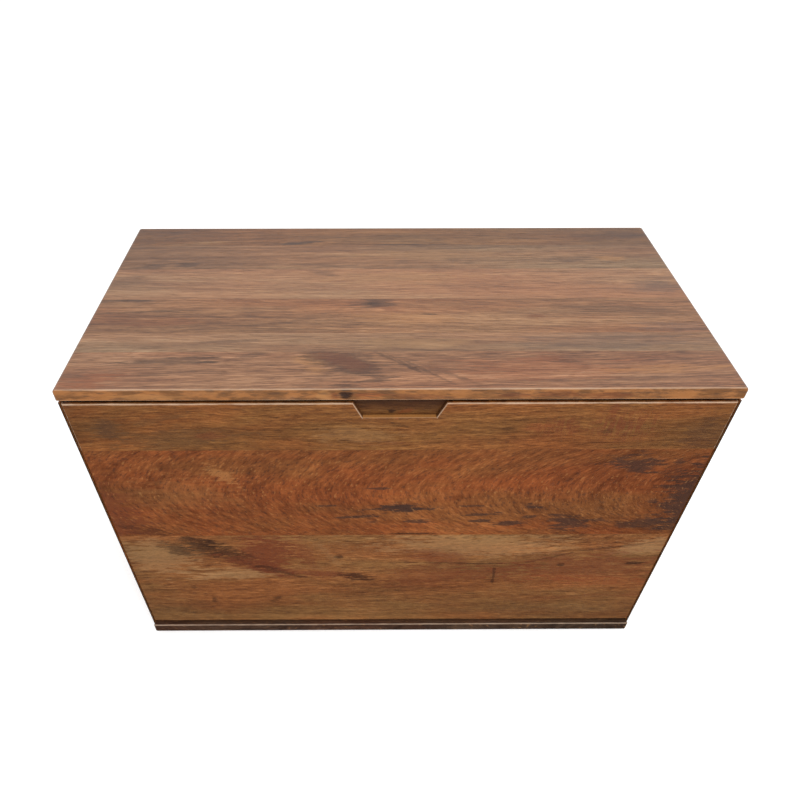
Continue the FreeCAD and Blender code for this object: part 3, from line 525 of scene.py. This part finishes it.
    "side_board_left_lower": Board("side", (120, 79, 49), 15.0, (0.20, 0.08, -0.06), 1.0, (0.95, 0.9), [
        (-70, 210, 60, 12, -20, RUSSET, 0.60, "Streak"),
        (-25, 190, 12, 8, 0, UMBER, 0.60, None),
        (100, 120, 80, 24, 0, STRAW, 0.30, None),
    ]),
    "side_board_right_upper": Board("side", (124, 82, 49), 16.0, (-0.26, 0.07, 0.06), 0.95, (1.0, 0.9), [
        (-60, 530, 36, 8, 2, RUSSET, 0.45, "Streak"),
        (110, 560, 60, 8, 0, STRAW, 0.30, None),
    ]),
    "side_board_right_middle": Board("side", (122, 75, 42), 17.0, (0.03, 0.28, -0.18), 0.9, (0.9, 0.95), [
        (70, 390, 30, 6, 2, MINERAL, 0.70, None),
        (-110, 345, 22, 12, 0, MINERAL, 0.55, None),
        (-60, 450, 60, 18, 8, HONEY, 0.25, None),
    ], waviness=0.25),
    "side_board_right_lower": Board("side", (124, 84, 52), 18.0, (-0.18, 0.06, 0.08), 1.0, (0.95, 0.9), [
        (40, 230, 66, 12, 16, RUSSET, 0.55, "Streak"),
        (-120, 130, 60, 26, 0, STRAW, 0.35, None),
        (130, 90, 14, 6, 6, UMBER, 0.60, None),
    ]),
    "base_board_1": Board("base", (70, 48, 36), 19.0, (0.24, 0.06, 0.02), 1.1, (1.0, 0.8),
                          trim=(PALE, 0.5)),
    "base_board_2": Board("base", (92, 64, 46), 20.0, (-0.20, 0.08, 0.04)),
    "base_board_3": Board("base", (88, 62, 45), 21.0, (0.26, 0.07, -0.03)),
    "base_board_4": Board("base", (70, 50, 38), 22.0, (-0.24, 0.05, 0.03)),
    "lid_batten_left": Board("batten", (134, 92, 58), 23.0, (0.20, 0.06, 0.05)),
    "lid_batten_right": Board("batten", (129, 87, 54), 24.0, (-0.22, 0.07, -0.04)),
    "corner_post_front_left": Board("post", (131, 90, 57), 25.0, (0.10, 0.06, 0.02)),
    "corner_post_front_right": Board("post", (126, 86, 54), 26.0, (-0.12, 0.07, 0.03)),
    "corner_post_back_left": Board("post", (133, 91, 58), 27.0, (0.12, 0.05, -0.02)),
    "corner_post_back_right": Board("post", (128, 88, 56), 28.0, (-0.10, 0.06, 0.04)),
}

# Knots on the lid's front edge: (along, height, half length, half height, colour, strength), with
# lengths in millimetres in the row's frame.
EDGE_MARKS = [
    (-71, 609, 9, 7, UMBER, 0.9),
    (-88, 606, 8, 5, RUSSET, 0.6),
    (-100, 608, 10, 9, HONEY, 0.5),
    (-40, 606, 20, 6, RUST, 0.5),
    (-330, 604, 60, 5, HONEY, 0.4),
    (150, 606, 18, 6, RUSSET, 0.5),
    (205, 608, 26, 5, RUSSET, 0.45),
    (270, 605, 30, 6, RUSSET, 0.5),
    (20, 604, 40, 4, RUSSET, 0.35),
]


def new_material(name):
    """An empty material with one shader. Returns it, its graph and the shader."""
    material = bpy.data.materials.new(name)
    material.use_nodes = True
    material.node_tree.nodes.clear()
    graph = Graph(material.node_tree)
    shader = graph.node("ShaderNodeBsdfPrincipled")
    output = graph.node("ShaderNodeOutputMaterial")
    graph.put(output.inputs["Surface"], shader.outputs[0])
    return material, graph, shader


def panel_box(name, board):
    """The box of the glued panel that a board belongs to, or of the board itself if it stands alone."""
    if board.kind in ("post", "batten"):
        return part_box(name)
    stem = name.rsplit("_", 1)[0]
    boxes = [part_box(other) for other in BOARDS if other.startswith(stem)]
    low = Vector([min(box[0][axis] for box in boxes) for axis in range(3)])
    high = Vector([max(box[1][axis] for box in boxes) for axis in range(3)])
    return low, high


def half_box(low, high):
    """Half of a box's size along each row axis."""
    return [(high[axis] - low[axis]) / 2 for axis in range(3)]


class TimberFinish:
    """The finish of one board, laid on in coats: each coat blends into the base colour so far."""

    def __init__(self, name, board):
        self.name = name
        self.board = board
        self.axes = GRAIN_AXES[board.kind]
        low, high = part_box(name)
        self.middle = (low + high) / 2
        self.half_size = self.in_grain(half_box(low, high))
        self.material, self.graph, self.shader = new_material("timber_" + name)
        graph = self.graph
        self.spot = self.measured_from(self.middle)
        self.parts = graph.split(self.spot)
        self.place = graph.join(*self.in_grain(self.parts))
        self.normal = graph.split(graph.node("ShaderNodeTexCoord").outputs["Normal"])
        pith_across, pith_depth, pith_tilt = board.pith
        self.grain = graph.group(TIMBER, {
            "Place": self.place, "Seed": board.seed, "Pith across": pith_across,
            "Pith depth": pith_depth, "Pith tilt": pith_tilt, "Waviness": board.waviness,
            "Shortness": LID_SHORTNESS if board.kind == "lid" else 1.0,
        })
        self.colour = None
        self.end_grain = None

    def in_grain(self, parts):
        """A row-frame vector's parts in the order along, across, through the board."""
        return [parts[axis] for axis in self.axes]

    def measured_from(self, point):
        """The shaded place in the row's frame, measured from a point."""
        place = self.graph.node("ShaderNodeTexCoord").outputs["Object"]
        return self.graph.vector("SUBTRACT", place, tuple(point))

    def facing(self, axis, low, high):
        """How far a face looks along an axis, either way: 0 to 1 between two parts of the normal."""
        return self.graph.step(self.graph.math("ABSOLUTE", self.normal[axis]), low, high)

    def product(self, *shares):
        """Shares multiplied together."""
        total = shares[0]
        for share in shares[1:]:
            total = self.graph.math("MULTIPLY", total, share)
        return total

    def coat(self, *shares, stain):
        """Blends a colour over the colour so far, by the product of the shares."""
        self.colour = self.graph.mix(self.product(*shares), self.colour, stain)

    def ellipse(self, place, centre, half_length, half_width, slant=0.0):
        """How far a place is inside a ragged ellipse, 0 to 1. centre is measured from the board's
        middle in metres, the half length and half width are in millimetres, slant in degrees."""
        graph = self.graph
        mapping = graph.node("ShaderNodeMapping", {"Vector": place}, vector_type="TEXTURE")
        mapping.inputs["Location"].default_value = (*centre, 0)
        mapping.inputs["Rotation"].default_value = (0, 0, math.radians(slant))
        mapping.inputs["Scale"].default_value = (half_length / 1000, half_width / 1000, ELLIPSE_DEPTH)
        away = graph.vector("LENGTH", mapping.outputs[0])
        away = graph.math("ADD", away, graph.math("MULTIPLY_ADD", self.grain["Ragged"], RAGGEDNESS,
                                                  -RAGGEDNESS / 2))
        return graph.step(away, *MARK_EDGE)

    def stain(self):
        """The board's tint by the grain's tone, its drift of hue and its two ends' brightness."""
        graph, board = self.graph, self.board
        tone = graph.math("MULTIPLY_ADD", graph.math("SUBTRACT", self.grain["Tone"], 0.5),
                          board.contrast, 0.5)
        self.colour = graph.ramp(tone, [(at, tinted(board.tint, factors)) for at, factors in TINT_RAMP])
        warm, cool = HUES["lid" if board.kind == "lid" else "body"]
        hue = graph.mix(graph.step(self.grain["Hue"], 0.34, 0.66), warm, cool)
        self.colour = graph.mix(1.0, self.colour, hue, "MULTIPLY")
        along = self.in_grain(self.parts)[0]
        reach = self.half_size[0]
        near, far = board.ends
        fade = self.product(graph.step(along, -reach, -END_FADE * reach, near, 1.0),
                            graph.step(along, END_FADE * reach, reach, 1.0, far))
        self.colour = graph.vector("MULTIPLY", self.colour, graph.join(fade, fade, fade))

    def marks(self):
        """The board's knots, streaks and patches."""
        middle_along, middle_across, _ = self.in_grain(self.middle)
        for along, across, half_length, half_width, slant, stain, strength, pattern in self.board.marks:
            centre = (along / 1000 - middle_along, across / 1000 - middle_across)
            share = self.ellipse(self.place, centre, half_length, half_width, slant)
            if pattern:
                share = self.product(share, self.grain[pattern])
            self.coat(share, strength, stain=stain)

    def edge_skin(self):
        """The golden long narrow faces of a board, and the knots on them."""
        graph, board = self.graph, self.board
        sideways = self.facing(self.axes[1], 0.55, 0.85)
        flow = graph.noise(self.spot, (30.0, 60.0, 95.0), detail=4.0, roughness=0.65)
        golden = graph.mix(graph.step(flow, 0.40, 0.62), tinted(board.skin, (0.80, 0.80, 0.80)),
                           tinted(board.skin, (1.10, 1.10, 1.10)))
        self.coat(sideways, 0.85, stain=golden)
        face = graph.join(self.parts[0], self.parts[2], 0.0)
        for along, rise, half_length, half_height, stain, strength in EDGE_MARKS:
            centre = (along / 1000 - self.middle[0], rise / 1000 - self.middle[2])
            share = self.ellipse(face, centre, half_length, half_height)
            self.coat(share, sideways, strength, stain=stain)

    def pores(self):
        """Dark pores, and pale flecks between them."""
        self.coat(self.grain["Pores"], 0.36, stain=UMBER)
        self.coat(self.grain["Flecks"], 0.30, stain=HONEY)

    def ends(self):
        """Darker end grain, and painted shade that makes the side boards' front lips nearly black."""
        tint = self.board.tint
        self.end_grain = self.facing(self.axes[0], 0.45, 0.95)
        self.coat(self.end_grain, 0.6, stain=tinted(tint, END_GRAIN))
        if self.board.kind == "side":
            # Painted shade on the side boards' front lips, beside the front panel.
            front_lip_painted_shade = self.graph.step(self.normal[1], -0.45, -0.95)
            self.coat(front_lip_painted_shade, 0.93, stain=tinted(tint, FRONT_LIP_PAINTED_SHADE))

    def arrises(self):
        """A ragged line on the arrises of the glued panel, but not on its end faces. A pale trim paints a
        highlight on the rounded arris, a dark trim darkens it, and without trim the arris is lightened,
        partly as wear and partly as a painted highlight.
        """
        graph, board = self.graph, self.board
        low, high = panel_box(self.name, board)
        panel_place = graph.join(*self.in_grain(graph.split(self.measured_from((low + high) / 2))))
        edge = graph.group(ARRIS, {
            "Place": panel_place, "Half size": self.in_grain(half_box(low, high))})["Distance"]
        arris_line = graph.math("ADD", edge, graph.math("MULTIPLY_ADD", self.grain["Ragged"], ARRIS_LINE_DRIFT,
                                                  -ARRIS_LINE_DRIFT / 2))
        arris_line = graph.step(arris_line, *ARRIS_LINE_REACH)
        # Pale trims are painted highlights; the default lightening is wear and a painted highlight.
        trim, strength = board.trim or (tinted(board.tint, ARRIS_WEAR_AND_HIGHLIGHT), 0.35)
        self.coat(arris_line, self.facing(self.axes[0], 0.7, 0.4), strength, stain=trim)

    def finger_pull(self):
        """Shadow and light round the top of the front panel: the dark gap under the lid, the lit
        ledge of the finger pull, the shaded back of its recess and its pale rim."""
        graph = self.graph
        side, depth, height = self.parts
        inward = graph.math("ADD", depth, self.half_size[2])
        upward = graph.step(self.normal[2], 0.80, 0.97)
        below, above = (self.half_size[1] - drop for drop in TOP_DROPS)
        self.coat(upward, graph.step(height, below, above), graph.step(inward, *GAP_STARTS), 0.85,
                  stain=GAP_SHADE)
        ledge = self.product(upward, graph.step(height, above, below))
        self.coat(ledge, 0.75, stain=HONEY)
        recess = self.product(graph.step(inward, *RECESS_STARTS), graph.step(inward, *RECESS_ENDS))
        self.coat(recess, graph.step(height, *RECESS_HEIGHTS, 0.30, 0.86), stain=UMBER)
        rim = self.product(graph.math("MAXIMUM", ledge, self.facing(0, 0.30, 0.55)),
                           graph.step(inward, *RIM_DEPTHS))
        self.coat(rim, graph.step(graph.math("ABSOLUTE", side), *RIM_ENDS), 0.5, stain=PALE)

    def surface(self):
        """Satin lacquer: duller in the pores, fibres and end grain, with a fine relief."""
        graph, grain = self.graph, self.grain
        if self.board.kind in ("front", "back", "side"):
            self.shader.inputs["Specular IOR Level"].default_value = 0.2
        gloss = 0.30
        for share, dulling in ((grain["Fibre"], 0.16), (grain["Pores"], 0.20), (self.end_grain, 0.15)):
            gloss = graph.math("MULTIPLY_ADD", share, dulling, gloss)
        graph.put(self.shader.inputs["Roughness"], gloss)
        relief = graph.math("MULTIPLY_ADD", grain["Pores"], -0.8,
                            graph.math("MULTIPLY", grain["Fibre"], 0.5))
        bump = graph.node("ShaderNodeBump", {"Height": relief, "Strength": 0.35, "Distance": 0.0004})
        graph.put(self.shader.inputs["Normal"], bump.outputs[0])


def timber_material(name, board):
    """The finish of one board: grain, marks, pores, end grain with painted shade on the side boards'
    front lips, arris lines of wear and painted highlight, and satin lacquer.
    """
    finish = TimberFinish(name, board)
    finish.stain()
    finish.marks()
    if board.skin:
        finish.edge_skin()
    finish.pores()
    finish.ends()
    finish.arrises()
    if name == "front_board_upper":
        finish.finger_pull()
    finish.graph.put(finish.shader.inputs["Base Color"], finish.colour)
    finish.surface()
    return finish.material


# ---------------------------------------------------------------- metal, rubber, plastic
def metal_material(name, bright, dull, roughness, tarnish, brushed):
    """Plated metal with patches of tarnish and fine brushing. brushed is how many strokes fit in a
    metre along each axis, so the brushing runs along the axis with the fewest."""
    material, graph, shader = new_material(name)
    place = graph.node("ShaderNodeTexCoord").outputs["Object"]
    patches = graph.noise(place, (90.0, 90.0, 90.0), detail=4.0, roughness=0.6)
    strokes = graph.noise(place, brushed, detail=3.0, roughness=0.6)
    share = graph.step(patches, 0.42, 0.66, 0.0, tarnish)
    share = graph.math("MULTIPLY_ADD", strokes, 0.25, share, clamp=True)
    graph.put(shader.inputs["Base Color"], graph.mix(share, bright, dull))
    shader.inputs["Metallic"].default_value = 1.0
    rough = graph.math("MULTIPLY_ADD", strokes, 0.18, roughness - 0.09)
    rough = graph.math("MULTIPLY_ADD", share, 0.18, rough)
    graph.put(shader.inputs["Roughness"], rough)
    relief = graph.math("MULTIPLY_ADD", strokes, 0.6, graph.math("MULTIPLY", patches, 0.4))
    bump = graph.node("ShaderNodeBump", {"Height": relief, "Strength": 0.25, "Distance": 0.0002})
    graph.put(shader.inputs["Normal"], bump.outputs[0])
    return material


def moulded_material(name, dark, light, roughness, speckle):
    """Moulded rubber or plastic: a fine pebbled skin with a dusting of lighter specks."""
    material, graph, shader = new_material(name)
    place = graph.node("ShaderNodeTexCoord").outputs["Object"]
    pebble = graph.noise(place, (1400.0, 1400.0, 1400.0), detail=2.0, roughness=0.5)
    dust = graph.noise(place, (160.0, 160.0, 160.0), detail=4.0, roughness=0.65)
    share = graph.step(dust, 0.45, 0.72, 0.0, speckle)
    graph.put(shader.inputs["Base Color"], graph.mix(share, dark, light))
    rough = graph.math("MULTIPLY_ADD", pebble, 0.16, roughness - 0.08)
    graph.put(shader.inputs["Roughness"], rough)
    bump = graph.node("ShaderNodeBump", {"Height": pebble, "Strength": 0.3, "Distance": 0.0002})
    graph.put(shader.inputs["Normal"], bump.outputs[0])
    return material


def dress(prefix, material):
    """Gives a material to every CAD node whose name starts with prefix."""
    for name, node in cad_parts.items():
        if name.startswith(prefix):
            for slot in node.material_slots:
                slot.material = material


def dress_everything():
    """Makes every material and gives it to its nodes."""
    for name, board in BOARDS.items():
        dress(name, timber_material(name, board))
    brass = metal_material("antique_brass", linear(176, 138, 84), linear(84, 62, 40),
                           roughness=0.36, tarnish=0.85, brushed=(60.0, 900.0, 900.0))
    zinc = metal_material("zinc_plate", linear(196, 198, 200), linear(128, 130, 134),
                          roughness=0.32, tarnish=0.7, brushed=(900.0, 120.0, 120.0))
    screw = metal_material("screw_steel", linear(168, 158, 140), linear(92, 84, 74),
                           roughness=0.34, tarnish=0.7, brushed=(400.0, 400.0, 400.0))
    rubber = moulded_material("button_rubber", linear(28, 28, 29), linear(62, 60, 58),
                              roughness=0.72, speckle=0.35)
    plastic = moulded_material("glide_plastic", linear(34, 32, 31), linear(70, 66, 62),
                               roughness=0.5, speckle=0.3)
    for prefix in ("hinge_leaf", "hinge_pin"):
        dress(prefix, brass)
    for prefix in ("stay_angle", "stay_plate", "stay_lower_arm", "stay_upper_arm", "stay_elbow_rivet",
                   "stay_eye_rivet", "stay_foot_rivet"):
        dress(prefix, zinc)
    for prefix in ("base_screws", "batten_screws", "panel_screws", "hinge_screws", "stay_screws"):
        dress(prefix, screw)
    dress("lid_buttons", rubber)
    dress("floor_glides", plastic)


# ---------------------------------------------------------------- studio
# The floor lies just under the glides and glows a little, so that it stays near the photo's white.
FLOOR_HALF = 14.0
FLOOR_DROP = 0.0005
FLOOR_GLOW = 0.22
DOME_STRENGTH = 0.92
# The dome turns from dark to white between these upward parts of the view direction.
DOME_EDGE = (-0.34, -0.16)

CAMERA_PLACE = (-0.0433, -0.8465, 1.1650)
CAMERA_DEGREES = (47.805, 0.008, -0.280)
CAMERA_LENS = 29.11
CAMERA_SHIFT = 0.03775
FAR_CLIP = 60.0


def make_floor():
    """A plain pale floor, wide enough to fill every view."""
    half = FLOOR_HALF
    mesh = bpy.data.meshes.new("studio_floor")
    corners = [(-half, -half, 0), (half, -half, 0), (half, half, 0), (-half, half, 0)]
    mesh.from_pydata(corners, [], [(0, 1, 2, 3)])
    floor = bpy.data.objects.new("studio_floor", mesh)
    bpy.context.scene.collection.objects.link(floor)
    floor.location.z = -FLOOR_DROP
    material, graph, shader = new_material("studio_floor")
    place = graph.node("ShaderNodeTexCoord").outputs["Object"]
    mottle = graph.noise(place, (3.0, 3.0, 3.0), detail=2.0)
    graph.put(shader.inputs["Base Color"], graph.mix(mottle, (0.90, 0.90, 0.90, 1), (0.94, 0.94, 0.94, 1)))
    shader.inputs["Roughness"].default_value = 0.9
    shader.inputs["Emission Color"].default_value = (1.0, 1.0, 1.0, 1.0)
    shader.inputs["Emission Strength"].default_value = FLOOR_GLOW
    mesh.materials.append(material)
    floor.visible_glossy = False


def make_world():
    """An even white dome, with nothing bright below the floor to reflect in the lacquer."""
    world = bpy.data.worlds.new("studio")
    bpy.context.scene.world = world
    world.use_nodes = True
    world.node_tree.nodes.clear()
    graph = Graph(world.node_tree)
    height = graph.split(graph.node("ShaderNodeTexCoord").outputs["Generated"])[2]
    colour = graph.mix(graph.step(height, *DOME_EDGE), (0.02, 0.02, 0.02, 1), (1, 1, 1, 1))
    background = graph.node("ShaderNodeBackground", {"Color": colour, "Strength": DOME_STRENGTH})
    output = graph.node("ShaderNodeOutputWorld")
    graph.put(output.inputs["Surface"], background.outputs[0])


def add_area(name, location, target, size, power):
    """A soft square light aimed at a point. size is in metres and power in watts."""
    data = bpy.data.lights.new(name, "AREA")
    data.shape = "SQUARE"
    data.size = size
    data.energy = power
    light = bpy.data.objects.new(name, data)
    bpy.context.scene.collection.objects.link(light)
    light.location = location
    aim = Vector(target) - Vector(location)
    light.rotation_euler = aim.to_track_quat("-Z", "Y").to_euler()
    return light


def make_camera():
    """The photograph's viewpoint: a wide lens above the front, looking down about 42 degrees."""
    data = bpy.data.cameras.new("camera")
    data.lens = CAMERA_LENS
    data.sensor_width = 36.0
    data.shift_x = CAMERA_SHIFT
    data.clip_end = FAR_CLIP
    camera = bpy.data.objects.new("camera", data)
    bpy.context.scene.collection.objects.link(camera)
    camera.location = CAMERA_PLACE
    camera.rotation_euler = [math.radians(angle) for angle in CAMERA_DEGREES]
    bpy.context.scene.camera = camera


def make_studio():
    """The floor, the dome and one soft key light from the right and in front."""
    make_floor()
    make_world()
    key = add_area("key", location=(0.8, -2.2, 3.2), target=(0.0, 0.0, 0.3), size=1.6, power=70.0)
    key.visible_glossy = False
    bpy.context.scene.view_settings.view_transform = "Standard"


make_camera()
make_studio()
dress_everything()
